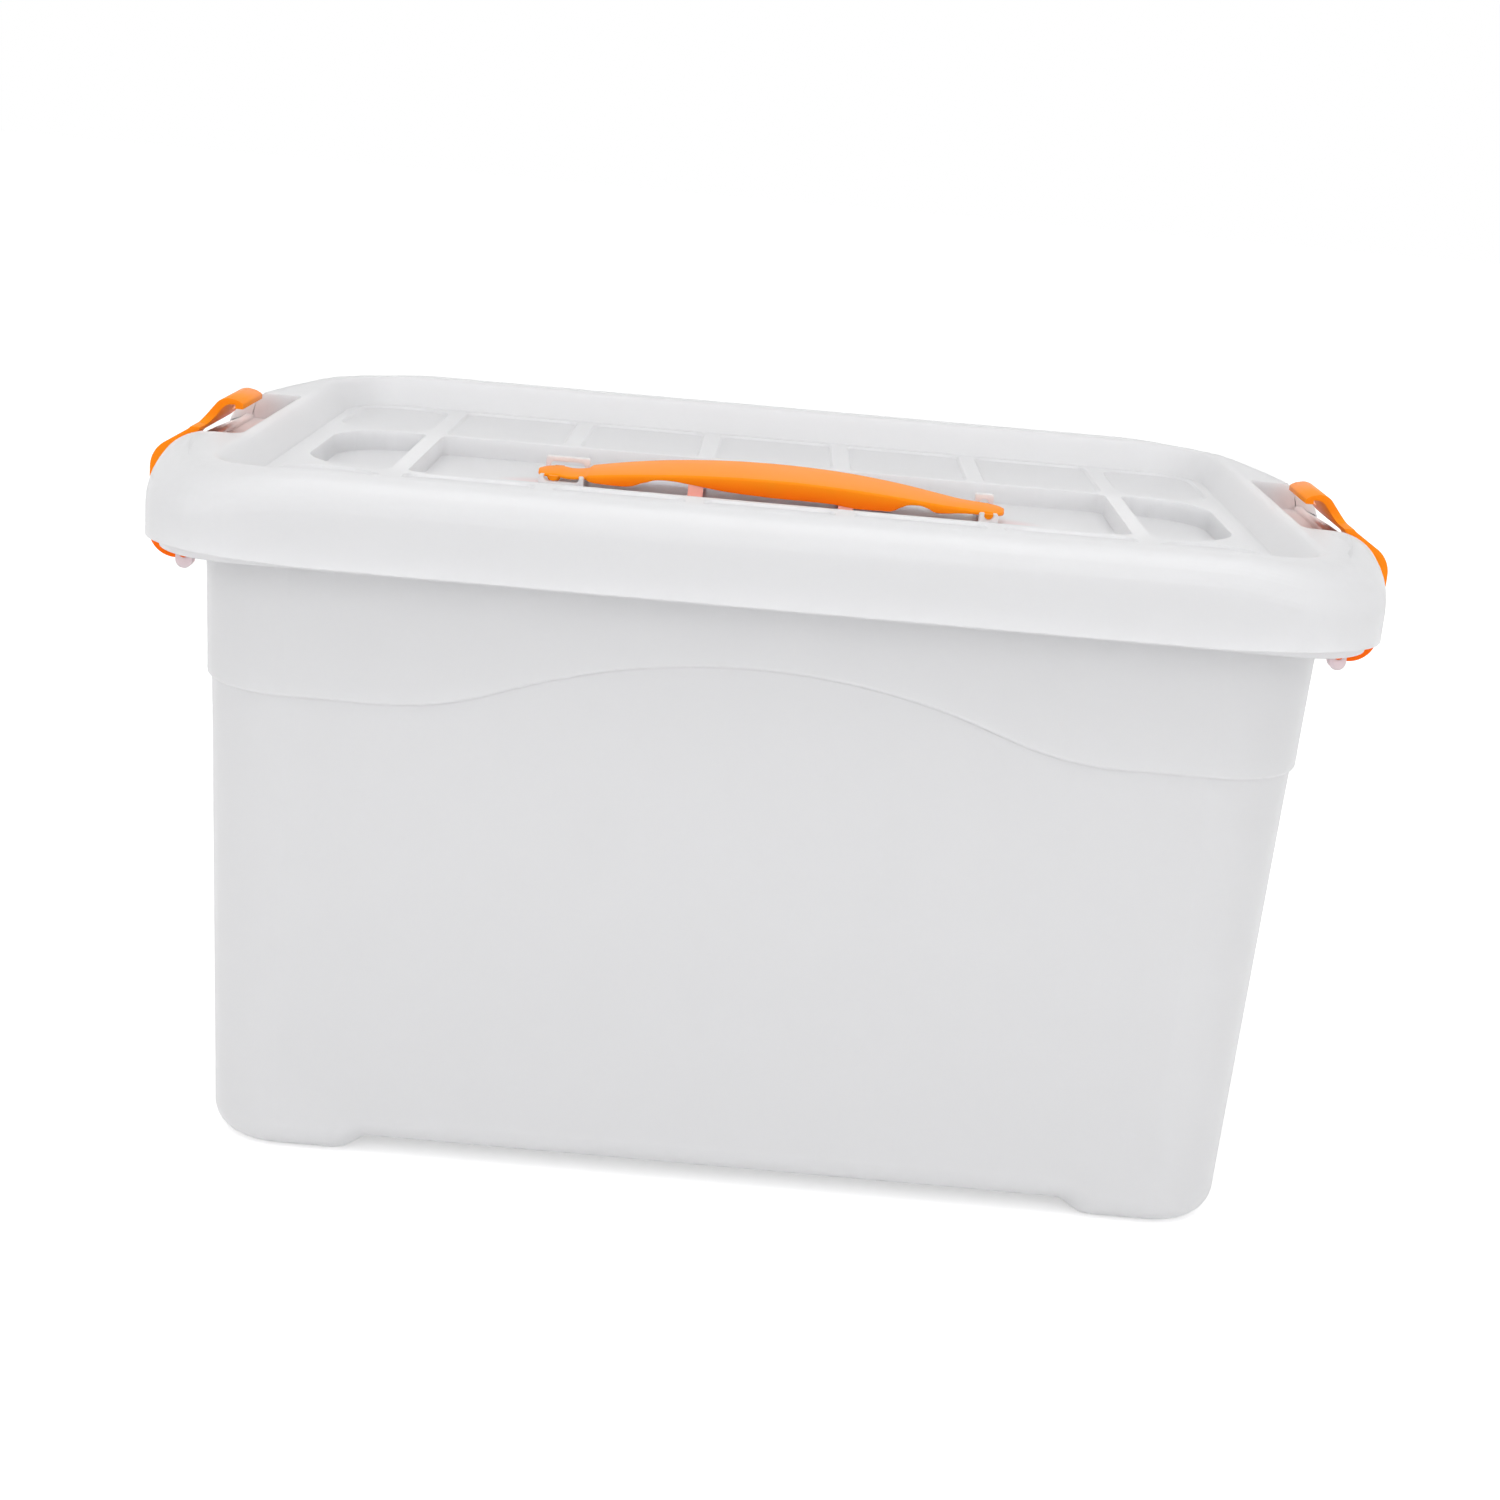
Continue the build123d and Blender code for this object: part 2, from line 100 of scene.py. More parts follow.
# Natural polypropylene, injection moulded: milky, lets some light through, satin from a fine eroded mould
milky = {
    "colour": "#F8F8FA", "ior": 1.49, "roughness": 0.34, "lessRough": 0.04, "moreRough": 0.05,
    "transmission": 0.3, "subsurface": 0.5, "scatter": 12.0, "grain": 0.4, "grainHeight": 0.003,
    "grainStrength": 0.1, "flow": 60.0, "edge": 0.5, "edgeSamples": 4, "paintedSpotCore": 0.5,
    # painted light and shade: orange light painted on the lid and tub beside the latches and at the strap's
    # ends, and a lavender painted shade under the grip. Centre (both ends alike), radii, colour and share
    "paintedLightSpots": [((168, 4, 193), (17.5, 58, 12), "#FFCCC0", 0.65), ((171, 0, 157), (12, 42, 10), "#F6C0CC", 0.8),
              ((0, 0, 186), (70, 34, 8), "#E4DEFC", 0.8), ((72, 0, 188), (18, 14, 5), "#FFC4C4", 0.6)],
}


def colourWithPaintedLight(tree, place):
    # the plastic's own colour with a soft spot of painted light and shade laid on it at each place. A Mix
    # node's inputs 6 and 7 are its two colours
    mirrored = addNode(tree, "ShaderNodeVectorMath", {"operation": "ABSOLUTE"}, {0: place})
    colour = None
    for centre, radii, paintedHue, share in milky["paintedLightSpots"]:
        spot = {"vector_type": "TEXTURE", "Location": [value * mm for value in centre],
                "Scale": [value * mm for value in radii]}
        near = addNode(tree, "ShaderNodeMapping", spot, {"Vector": mirrored.outputs[0]})
        away = addNode(tree, "ShaderNodeVectorMath", {"operation": "LENGTH"}, {0: near.outputs["Vector"]})
        fade = {"interpolation_type": "SMOOTHSTEP", "From Min": milky["paintedSpotCore"], "From Max": 1.0,
                "To Min": share, "To Max": 0.0}
        # how strongly the painted light and shade shows, fading out from each spot's core
        paintedSpotMask = addNode(tree, "ShaderNodeMapRange", fade, {"Value": away.outputs["Value"]})
        settings, links = {"data_type": "RGBA", 7: srgb(paintedHue)}, {0: paintedSpotMask.outputs["Result"]}
        if colour:
            links[6] = colour
        else:
            settings[6] = srgb(milky["colour"])
        colour = addNode(tree, "ShaderNodeMix", settings, links).outputs[2]
    return colour


def mouldedNaturalPolypropylene():
    material, tree = newMaterial("moulded natural polypropylene")
    place = addNode(tree, "ShaderNodeTexCoord").outputs["Object"]
    # moulded edges are never sharp: a small radius that catches the light
    edge = addNode(tree, "ShaderNodeBevel", {"samples": milky["edgeSamples"], "Radius": milky["edge"] * mm})
    # fine satin grain, drawn coarser than a real mould leaves it, so that it shows
    grain = addNode(tree, "ShaderNodeTexNoise", {"Scale": 1 / (milky["grain"] * mm), "Detail": 2.0},
                    {"Vector": place})
    bump = addNode(tree, "ShaderNodeBump",
                   {"Strength": milky["grainStrength"], "Distance": milky["grainHeight"] * mm},
                   {"Height": grain.outputs["Fac"], "Normal": edge.outputs["Normal"]})
    # slow changes of gloss where the melt flowed and cooled
    flow = addNode(tree, "ShaderNodeTexNoise", {"Scale": 1 / (milky["flow"] * mm), "Detail": 1.0},
                   {"Vector": place})
    gloss = addNode(tree, "ShaderNodeMapRange",
                    {"To Min": milky["roughness"] - milky["lessRough"],
                     "To Max": milky["roughness"] + milky["moreRough"]},
                    {"Value": flow.outputs["Fac"]})
    shader = addNode(tree, "ShaderNodeBsdfPrincipled",
                     {"IOR": milky["ior"], "Transmission Weight": milky["transmission"],
                      "Subsurface Weight": milky["subsurface"], "Subsurface Scale": milky["scatter"] * mm,
                      "Subsurface Radius": (1.0, 1.0, 1.0)},
                     {"Base Color": colourWithPaintedLight(tree, place), "Roughness": gloss.outputs["Result"],
                      "Normal": bump.outputs["Normal"]})
    addNode(tree, "ShaderNodeOutputMaterial", {}, {"Surface": shader.outputs["BSDF"]})
    return material


# Coloured polypropylene for the latches and strap: smoother mould, with a deeper painted shade and a paler
# painted light where light would come through it
orange = {
    "paintedShadeColour": "#FF6404", "colour": "#FF9016", "paintedGlowColour": "#FFB2A6", "ior": 1.49, "roughness": 0.32,
    "roughnessVaries": 0.05,
    "shine": 0.01, "transmission": 0.1, "subsurface": 0.2, "scatter": 3.0,
    "scatterByColour": (1.0, 0.35, 0.1), "flow": 25.0, "plain": 0.5,
}


def mouldedOrangePolypropylene():
    material, tree = newMaterial("moulded orange polypropylene")
    place = addNode(tree, "ShaderNodeTexCoord").outputs["Object"]
    flow = addNode(tree, "ShaderNodeTexNoise", {"Scale": 1 / (orange["flow"] * mm), "Detail": 1.0},
                   {"Vector": place})
    gloss = addNode(tree, "ShaderNodeMapRange",
                    {"To Min": orange["roughness"] - orange["roughnessVaries"],
                     "To Max": orange["roughness"] + orange["roughnessVaries"]},
                    {"Value": flow.outputs["Fac"]})
    # each mesh says where light and shade are painted into the colour: a deeper painted shade, the plain
    # colour, and a paler painted light where light would come through
    glow = addNode(tree, "ShaderNodeAttribute", {"attribute_name": "glow"})
    depth = addNode(tree, "ShaderNodeValToRGB", {}, {"Fac": glow.outputs["Fac"]})
    depth.color_ramp.elements.new(orange["plain"])
    for element, key in zip(depth.color_ramp.elements, ("paintedShadeColour", "colour", "paintedGlowColour")):
        element.color = srgb(orange[key])
    shader = addNode(tree, "ShaderNodeBsdfPrincipled",
                     {"IOR": orange["ior"], "Specular IOR Level": orange["shine"],
                      "Transmission Weight": orange["transmission"],
                      "Subsurface Weight": orange["subsurface"],
                      "Subsurface Scale": orange["scatter"] * mm,
                      "Subsurface Radius": orange["scatterByColour"]},
                     {"Roughness": gloss.outputs["Result"], "Base Color": depth.outputs["Color"]})
    addNode(tree, "ShaderNodeOutputMaterial", {}, {"Surface": shader.outputs["BSDF"]})
    return material


milkyPlastic = mouldedNaturalPolypropylene()
orangePlastic = mouldedOrangePolypropylene()
for name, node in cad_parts.items():
    node.data.materials.clear()
    node.data.materials.append(milkyPlastic if name in ("tub", "lid") else orangePlastic)
print("materials done")


# Lid: the CAD shape, with its rim rounder and lower towards the two ends than in the middle
lid = {
    "length": 356.0, "width": 230.0, "endBow": 18.3, "corner": 26.0, "top": 200.0, "crest": 9.0,
    "endCrest": 14.0, "endDrop": 2.0, "softFrom": 118.0, "softTo": 160.0, "sharp": 32.0,
    "skirt": 24.0, "skirtInside": 3.5, "skirtFoot": 3.0, "endLift": 1.8,
    # the latch's notch with its ridge, and how far below the crest's start a point still counts as crest
    "notchHalf": 43.05, "notchFrom": 0.3, "ridgeTop": 191.4, "slack": 0.05,
    # planes that give the flat faces points to bend at: first, last, step and direction
    "cuts": [(116.0, 176.0, 4.0, (1, 0, 0)), (44.0, 112.0, 6.0, (0, 1, 0))], "cutWeld": 0.0005,
}


def inFromLidEdge(x, y):
    # how far a point lies in from the lid's outline, which has bowed ends and rounded corners
    half = lid["width"] / 2
    bowRadius = (half ** 2 + lid["endBow"] ** 2) / (2 * lid["endBow"])
    bowCentre = lid["length"] / 2 - bowRadius
    cornerY = half - lid["corner"]
    cornerX = math.sqrt((bowRadius - lid["corner"]) ** 2 - cornerY ** 2) + bowCentre
    x, y = abs(x), abs(y)
    if x > cornerX and y > cornerY + (x - cornerX) * cornerY / (cornerX - bowCentre):
        return lid["corner"] - math.hypot(x - cornerX, y - cornerY)
    return min(half - y, bowRadius - math.hypot(x - bowCentre, y))


def crestFall(radius, inwards):
    # how far a crest of this radius has fallen at this distance in from the edge
    away = max(radius - max(inwards, 0.0), 0.0)
    return radius - math.sqrt(radius ** 2 - away ** 2)


def softEndedLid():
    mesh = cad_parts["lid"].data.copy()
    mesh.name = "softEndedLid"
    work = bmesh.new()
    work.from_mesh(mesh)
    bmesh.ops.remove_doubles(work, verts=work.verts, dist=weld * mm)
    for first, last, step, along in lid["cuts"]:
        for index in range(int((last - first) / step) + 1):
            for sign in (-1, 1):
                place = Vector(along) * sign * (first + index * step) * mm
                bmesh.ops.bisect_plane(work, geom=work.verts[:] + work.edges[:] + work.faces[:],
                                       dist=lid["cutWeld"] * mm, plane_co=place, plane_no=along)
    bottom, shoulder = lid["top"] - lid["skirt"], lid["top"] - lid["crest"]
    for vert in work.verts:
        x, y, z = (value / mm for value in vert.co)
        share = smoothShare(abs(x), lid["softFrom"], lid["softTo"])
        inwards = inFromLidEdge(x, y)
        fall = max(crestFall(lid["endCrest"], inwards) - crestFall(lid["crest"], inwards), 0.0)
        # the ridge in the latch's notch keeps its height
        inNotch = abs(y) < lid["notchHalf"] and inwards > lid["notchFrom"] and z < lid["ridgeTop"]
        if share > 0 and z > shoulder - lid["slack"] and not inNotch:
            raised = min(max((z - shoulder) / lid["crest"], 0.0), 1.0)
            vert.co.z -= share * (fall + lid["endDrop"] * raised) * mm
        elif share > 0 and inwards < lid["skirtInside"] and abs(y) > lid["notchHalf"]:
            up = (z - bottom) / (shoulder - bottom)
            vert.co.z += share * (lid["endLift"] * (1 - up) - fall * up) * mm
        elif share > 0 and inwards < lid["skirtInside"] and z < bottom + lid["skirtFoot"]:
            vert.co.z += share * lid["endLift"] * mm
    smoothUnlessSharp(work, lid["sharp"])
    work.to_mesh(mesh)
    work.free()
    return mesh


def flatFacesFirst(piece):
    # large flat faces keep their own shading, so that the roundings beside them look even
    weigher = piece.modifiers.new("shading", "WEIGHTED_NORMAL")
    weigher.keep_sharp = True
    mesh = bpy.data.meshes.new_from_object(piece.evaluated_get(bpy.context.evaluated_depsgraph_get()))
    piece.modifiers.clear()
    mesh.name = piece.name
    piece.data = mesh


softLid = newPiece("softLid", softEndedLid(), milkyPlastic)
flatFacesFirst(softLid)
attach(softLid, "lid")
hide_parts("lid")
print("lid done", len(softLid.data.polygons))


# Latches: the CAD shape with its edges rounded, as they leave the mould
latch = {
    "edge": 0.45, "edgeSteps": 3, "sharp": 35.0, "flat": 0.6,
    "noseFrom": 164.8, "noseRun": 3.4, "noseTop": 202.6, "noseBottom": 190.0, "noseKept": 0.5,
    # painted light and shade on the latch: painted shade at the root, the plain body, painted light at the
    # tab's back
    "glow": {"low": 166.0, "high": 178.0, "root": 0.08, "body": 0.45, "backFrom": 4.0, "backTo": 26.0,
             "back": 0.4, "upFrom": 184.0, "upTo": 194.0},
}


def setGlow(mesh, glowAt):
    # the painted light and shade of the orange plastic at each point: 0 painted shade, 0.5 plain, 1 painted
    # light
    glow = mesh.attributes.new("glow", "FLOAT", "POINT")
    glow.data.foreach_set("value", [glowAt(*(value / mm for value in vert.co)) for vert in mesh.vertices])


def latchPaintedLightAndShade(x, y, z):
    # painted shade, saturated, at the foot, and painted light, paler, at the back of the tab where light
    # would come through
    glow = latch["glow"]
    value = glow["root"] + (glow["body"] - glow["root"]) * smoothShare(z, glow["low"], glow["high"])
    lit = smoothShare(y, glow["backFrom"], glow["backTo"]) * smoothShare(z, glow["upFrom"], glow["upTo"])
    return value + glow["back"] * lit


def roundedLatch(name, node):
    # a CAD mesh is loose triangles, so the copy is merged and its flat faces joined before the bevel
    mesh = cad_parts[node].data.copy()
    mesh.name = name
    work = bmesh.new()
    work.from_mesh(mesh)
    bmesh.ops.remove_doubles(work, verts=work.verts, dist=weld * mm)
    bmesh.ops.dissolve_limit(work, angle_limit=math.radians(latch["flat"]), verts=work.verts,
                             edges=work.edges)
    sharpAngle = math.radians(latch["sharp"])
    sharp = [line for line in work.edges if len(line.link_faces) == 2 and line.calc_face_angle() > sharpAngle]
    bmesh.ops.bevel(work, geom=sharp, offset=latch["edge"] * mm, segments=latch["edgeSteps"], profile=0.5,
                    affect="EDGES", clamp_overlap=True)
    bmesh.ops.triangulate(work, faces=[face for face in work.faces if len(face.verts) > 4])
    # the tab's nose curls up closer than in the CAD shape
    for vert in work.verts:
        share = smoothShare(latch["noseFrom"] - abs(vert.co.x) / mm, 0.0, latch["noseRun"])
        if latch["noseBottom"] < vert.co.z / mm < latch["noseTop"]:
            vert.co.z += share * (1 - latch["noseKept"]) * (latch["noseTop"] * mm - vert.co.z)
    for face in work.faces:
        face.smooth = True
    work.to_mesh(mesh)
    work.free()
    setGlow(mesh, latchPaintedLightAndShade)
    return mesh


for side in ("left", "right"):
    body = side + "_latch"
    name = side + "Latch"
    piece = newPiece(name, roundedLatch(name, body), orangePlastic)
    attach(piece, body)
    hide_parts(body)
print("latches done")


# Strap handle: one flexible moulding of inverted U section. It is made in two halves that meet in the middle
# of the grip.
strap = {
    "length": 70.8, "rows": 141, "crown": 194.4, "archRadius": 350.0, "plate": 2.0, "wall": 2.0,
    "crowning": 0.5, "topShares": (0.0, 0.4, 0.75), "edge": 0.8, "edgeSteps": 5, "lip": 0.4, "lipSteps": 2,
    # from the middle outwards: half width, underside height, and rise above the arch
    "left": {
        "Width": [(0, 17.0), (20, 16.5), (40, 14.4), (50, 12.3), (55.0, 11.1), (56.4, 9.0), (67.0, 8.6),
                  (69.6, 6.6), (70.8, 2.5)],
        "Under": [(0, 188.6), (13, 189.2), (24, 190.3), (31, 190.8), (38, 189.4), (44, 187.6), (52, 187.4),
                  (57, 187.9), (70.8, 187.7)],
        "Rise": [(0, 0.0), (40, 0.0), (55.0, 0.0), (56.4, -0.5), (65.5, 1.1), (70.8, 1.7)],
    },
    "right": {
        "Width": [(0, 17.0), (20, 16.5), (40, 14.2), (52, 11.3), (59.0, 9.0), (67.0, 8.6), (69.6, 6.8),
                  (70.8, 2.5)],
        "Under": [(0, 188.6), (18, 188.3), (27, 187.4), (35, 187.4), (39, 188.8), (43, 189.7), (47, 188.9),
                  (51, 187.6), (60, 187.8), (70.8, 187.7)],
        "Rise": [(0, 0.0), (40, 0.0), (52.0, 0.1), (65.5, 1.2), (70.8, 1.8)],
    },
    "Width range": (0.0, 20.0), "Under range": (184.0, 192.0), "Rise range": (-2.0, 3.0),
    "pivot": 65.5, "pivotHeight": 188.4, "barrelRadius": 2.1, "barrelHalf": 8.6, "barrelTop": 188.3,
    "pinRadius": 1.4, "pinHalf": 10.6, "pinTop": 188.5, "turns": 32,
    "footPlace": 22.5, "footWidth": 4.5, "footBottom": 184.8, "footTop": {"left": 190.6, "right": 188.4},
    "footOut": 16.0, "footInset": 1.8, "bendFrom": 27.0, "bendTo": 39.0, "weld": 0.001, "sharp": 40.0,
    # painted light and shade on the strap: painted light on the feet, the top plain, painted shade down the
    # walls
    "glow": {"foot": 0.95, "footReach": 0.01, "top": 0.5, "fall": 0.38, "fallFrom": 1.0, "fallTo": 4.5},
}


def strapSection():
    # the U's outline as a ring. Every point keeps its share of the half width, how far in from there it lies,
    # what it hangs on (1 top, 0 underside, 2 ceiling of the hollow) and how far from there it is
    edge, lip, wall = strap["edge"], strap["lip"], strap["wall"]
    half = [(share, 0.0, 1, 0.0) for share in strap["topShares"]]
    for i in range(strap["edgeSteps"] + 1):
        turn = math.pi / 2 * i / strap["edgeSteps"]
        half.append((1.0, edge * (1 - math.sin(turn)), 1, -edge * (1 - math.cos(turn))))
    for i in range(strap["lipSteps"] + 1):
        turn = math.pi / 2 * i / strap["lipSteps"]
        half.append((1.0, lip * (1 - math.cos(turn)), 0, lip * (1 - math.sin(turn))))
    for i in range(strap["lipSteps"] + 1):
        turn = math.pi / 2 * i / strap["lipSteps"]
        half.append((1.0, wall - lip * (1 - math.sin(turn)), 0, lip * (1 - math.cos(turn))))
    half.append((1.0, wall, 2, 0.0))
    mirrored = [(-share, -inset, kind, lift) for share, inset, kind, lift in half[:0:-1]]
    points = half + [(0.0, 0.0, 2, 0.0)] + mirrored
    mesh = bpy.data.meshes.new("strapSection")
    count = len(points)
    mesh.from_pydata([(i * mm, 0, 0) for i in range(count)], [(i, (i + 1) % count) for i in range(count)], [])
    for column, name in enumerate(("share", "inset", "kind", "lift")):
        values = [float(point[column]) for point in points]
        mesh.attributes.new(name, "FLOAT", "POINT").data.foreach_set("value", values)
    return mesh


# The sums that place every point of the strap: result, operation and two terms. A term is a number or the
# name of an input, an attribute, a curve or an earlier result, and SQRT reads only its first
strapSums = [
    ("x", "MULTIPLY", "along", "Length"),
    ("radiusSquared", "POWER", "Arch Radius", 2.0),
    ("xSquared", "POWER", "x", 2.0),
    ("reachSquared", "SUBTRACT", "radiusSquared", "xSquared"),
    ("reach", "SQRT", "reachSquared", 0.0),
    ("centre", "SUBTRACT", "Crown", "Arch Radius"),
    ("arch", "ADD", "centre", "reach"),
    ("top", "ADD", "arch", "Rise"),
    ("shareSquared", "POWER", "share", 2.0),
    ("sideDrop", "MULTIPLY", "Crowning", "shareSquared"),
    ("crowned", "SUBTRACT", "top", "sideDrop"),
    ("plateUnder", "SUBTRACT", "top", "Plate"),
    ("ceiling", "MAXIMUM", "plateUnder", "Under"),
    ("isUnder", "LESS_THAN", "kind", 0.5),
    ("isCeiling", "GREATER_THAN", "kind", 1.5),
    ("isNotUnder", "SUBTRACT", 1.0, "isUnder"),
    ("isTop", "SUBTRACT", "isNotUnder", "isCeiling"),
    ("underHeight", "MULTIPLY", "isUnder", "Under"),
    ("topHeight", "MULTIPLY", "isTop", "crowned"),
    ("ceilingHeight", "MULTIPLY", "isCeiling", "ceiling"),
    ("outerHeight", "ADD", "underHeight", "topHeight"),
    ("wholeHeight", "ADD", "outerHeight", "ceilingHeight"),
    ("lifted", "MULTIPLY", "lift", mm),
    ("height", "ADD", "wholeHeight", "lifted"),
    ("spread", "MULTIPLY", "share", "Width"),
    ("drawnIn", "MULTIPLY", "inset", mm),
    ("across", "SUBTRACT", "spread", "drawnIn"),
    ("out", "MULTIPLY", "x", "side"),
]


def strapTree(side):
    # sweeps the ring along the strap, then sets every point by the arch, the plan and the underside
    tree = bpy.data.node_groups.new(side + "StrapShape", "GeometryNodeTree")
    inputs = {"Geometry": "Geometry", "Length": "Float", "Rows": "Int", "Crown": "Float",
              "Arch Radius": "Float", "Plate": "Float", "Crowning": "Float", "Material": "Material"}
    for name, kind in inputs.items():
        tree.interface.new_socket(name, in_out="INPUT", socket_type="NodeSocket" + kind)
    tree.interface.new_socket("Geometry", in_out="OUTPUT", socket_type="NodeSocketGeometry")
    given = addNode(tree, "NodeGroupInput").outputs

    ring = addNode(tree, "GeometryNodeMeshToCurve", {}, {"Mesh": given["Geometry"]})
    end = addNode(tree, "ShaderNodeCombineXYZ", {}, {"X": given["Length"]})
    path = addNode(tree, "GeometryNodeCurvePrimitiveLine", {}, {"End": end.outputs[0]})
    path = addNode(tree, "GeometryNodeResampleCurve", {}, {"Curve": path.outputs[0], "Count": given["Rows"]})
    along = addNode(tree, "GeometryNodeSplineParameter")
    path = addNode(tree, "GeometryNodeStoreNamedAttribute", {"domain": "POINT", "Name": "along"},
                   {"Geometry": path.outputs[0], "Value": along.outputs["Factor"]})
    skin = addNode(tree, "GeometryNodeCurveToMesh", {"Fill Caps": True},
                   {"Curve": path.outputs[0], "Profile Curve": ring.outputs["Curve"]})
    read = {}
    for name in ("along", "share", "inset", "kind", "lift"):
        reader = addNode(tree, "GeometryNodeInputNamedAttribute", {"data_type": "FLOAT", "Name": name})
        read[name] = reader.outputs["Attribute"]
    shape = {}
    for name in ("Width", "Under", "Rise"):
        low, high = strap[name + " range"]
        node = addNode(tree, "ShaderNodeFloatCurve", {}, {"Value": read["along"]})
        curve = node.mapping.curves[0]
        points = strap[side][name]
        while len(curve.points) < len(points):
            curve.points.new(0.5, 0.5)
        for point, (place, value) in zip(curve.points, points):
            point.location = (place / strap["length"], (value - low) / (high - low))
            point.handle_type = "AUTO_CLAMPED"
        node.mapping.update()
        shape[name] = addNode(tree, "ShaderNodeMapRange", {"To Min": low * mm, "To Max": high * mm},
                              {"Value": node.outputs[0]}).outputs[0]
    values = {name: given[name] for name in ("Length", "Crown", "Arch Radius", "Plate", "Crowning")}
    values.update(read)
    values.update(shape)
    values["side"] = 1.0 if side == "right" else -1.0
    for name, operation, first, second in strapSums:
        terms = [values.get(term, term) for term in (first, second)]
        settings = {index: term for index, term in enumerate(terms) if isinstance(term, float)}
        settings["operation"] = operation
        links = {index: term for index, term in enumerate(terms) if not isinstance(term, float)}
        values[name] = addNode(tree, "ShaderNodeMath", settings, links).outputs[0]
    place = addNode(tree, "ShaderNodeCombineXYZ", {},
                    {"X": values["out"], "Y": values["across"], "Z": values["height"]})
    moved = addNode(tree, "GeometryNodeSetPosition", {},
                    {"Geometry": skin.outputs[0], "Position": place.outputs[0]})
    whole = addNode(tree, "GeometryNodeRealizeInstances", {}, {"Geometry": moved.outputs[0]})
    painted = addNode(tree, "GeometryNodeSetMaterial", {},
                      {"Geometry": whole.outputs[0], "Material": given["Material"]})
    addNode(tree, "NodeGroupOutput", {}, {0: painted.outputs[0]})
    return tree


def addRound(work, radius, low, high, ceiling):
    # a cylinder across the strap at its pivot, cut flat where the tongue covers it
    made = bmesh.ops.create_cone(work, cap_ends=True, segments=strap["turns"], radius1=radius * mm,
                                 radius2=radius * mm, depth=(high - low) * mm)["verts"]
    for vert in made:
        x, y, z = vert.co
        vert.co = (strap["pivot"] * mm + x, (low + high) / 2 * mm + z, strap["pivotHeight"] * mm + y)
        vert.co.z = min(vert.co.z, ceiling * mm)


def strapEnds(side):
    # the barrel with its two pins, and the two feet under the grip
    rounds = bmesh.new()
    addRound(rounds, strap["barrelRadius"], -strap["barrelHalf"], strap["barrelHalf"], strap["barrelTop"])
    footTop = strap["footTop"][side]
    for end in (-1, 1):
        inner, outer = sorted((end * strap["barrelHalf"], end * strap["pinHalf"]))
        addRound(rounds, strap["pinRadius"], inner, outer, strap["pinTop"])
        for vert in bmesh.ops.create_cube(rounds, size=1.0)["verts"]:
            x, y, z = vert.co
            vert.co = ((strap["footPlace"] + x * strap["footWidth"]) * mm,
                       (end * (strap["footOut"] - strap["footInset"] / 2) + y * strap["footInset"]) * mm,
                       ((strap["footBottom"] + footTop) / 2 + z * (footTop - strap["footBottom"])) * mm)
    for vert in rounds.verts:
        vert.co.x *= 1 if side == "right" else -1
    mesh = bpy.data.meshes.new(side + "StrapEnds")
    rounds.to_mesh(mesh)
    rounds.free()
    return mesh


def strapPaintedLightAndShade(x, y, z):
    # painted light on the thin feet under the grip, as if light came through them, and painted shade that
    # makes the walls deeper in colour than the top
    glow = strap["glow"]
    besideFoot = abs(abs(abs(x) - strap["footPlace"]) - strap["footWidth"] / 2)
    footHeights = (strap["footBottom"], *strap["footTop"].values())
    if besideFoot < glow["footReach"] and min(abs(z - height) for height in footHeights) < glow["footReach"]:
        return glow["foot"]
    under = strap["crown"] - (strap["archRadius"] - math.sqrt(strap["archRadius"] ** 2 - x * x)) - z
    return glow["top"] - glow["fall"] * smoothShare(under, glow["fallFrom"], glow["fallTo"])


def strapShell(side):
    # what the node tree makes of the section, as a mesh
    base = bpy.data.objects.new(side + "StrapSection", strapSection())
    bpy.context.collection.objects.link(base)
    tree = strapTree(side)
    shaper = base.modifiers.new("shape", "NODES")
    shaper.node_group = tree
    values = {"Length": strap["length"] * mm, "Rows": strap["rows"], "Crown": strap["crown"] * mm,
              "Arch Radius": strap["archRadius"] * mm, "Plate": strap["plate"] * mm,
              "Crowning": strap["crowning"] * mm, "Material": orangePlastic}
    for item in tree.interface.items_tree:
        if item.in_out == "INPUT" and item.name in values:
            shaper[item.identifier] = values[item.name]
    mesh = bpy.data.meshes.new_from_object(base.evaluated_get(bpy.context.evaluated_depsgraph_get()))
    bpy.data.objects.remove(base)
    return mesh


def strapHalf(side):
    mesh = strapShell(side)
    work = bmesh.new()
    work.from_mesh(mesh)
    bmesh.ops.remove_doubles(work, verts=work.verts, dist=strap["weld"] * mm)
    work.from_mesh(strapEnds(side))
    bmesh.ops.recalc_face_normals(work, faces=work.faces)
    smoothUnlessSharp(work, strap["sharp"])
    work.to_mesh(mesh)
    work.free()
    for attribute in ("along", "share", "inset", "kind", "lift"):
        if attribute in mesh.attributes:
            mesh.attributes.remove(mesh.attributes[attribute])
    mesh.name = side + "Strap"
    setGlow(mesh, strapPaintedLightAndShade)
    return newPiece(mesh.name, mesh, orangePlastic)


leftStrap = strapHalf("left")
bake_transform(leftStrap)
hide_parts("handle_left_arm", "handle_grip")
rightStrap = strapHalf("right")
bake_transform(rightStrap)
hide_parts("handle_grip", "handle_right_arm")
print("strap done", len(leftStrap.data.polygons), len(rightStrap.data.polygons))


# Studio: a white floor that keeps the box's soft shadow, in a white room
studio = {"floorHalf": 6.0, "floorColour": "#F4F4F4", "worldLight": 0.72, "floorFill": 0.4}


def seenDirectly(tree):
    # 1 for what the camera sees, straight or by reflection or through the plastic
    path = addNode(tree, "ShaderNodeLightPath")
    seen = addNode(tree, "ShaderNodeMath", {"operation": "MAXIMUM"},
                   {0: path.outputs["Is Camera Ray"], 1: path.outputs["Is Glossy Ray"]})
    return addNode(tree, "ShaderNodeMath", {"operation": "MAXIMUM"},
                   {0: seen.outputs[0], 1: path.outputs["Is Transmission Ray"]}).outputs[0]


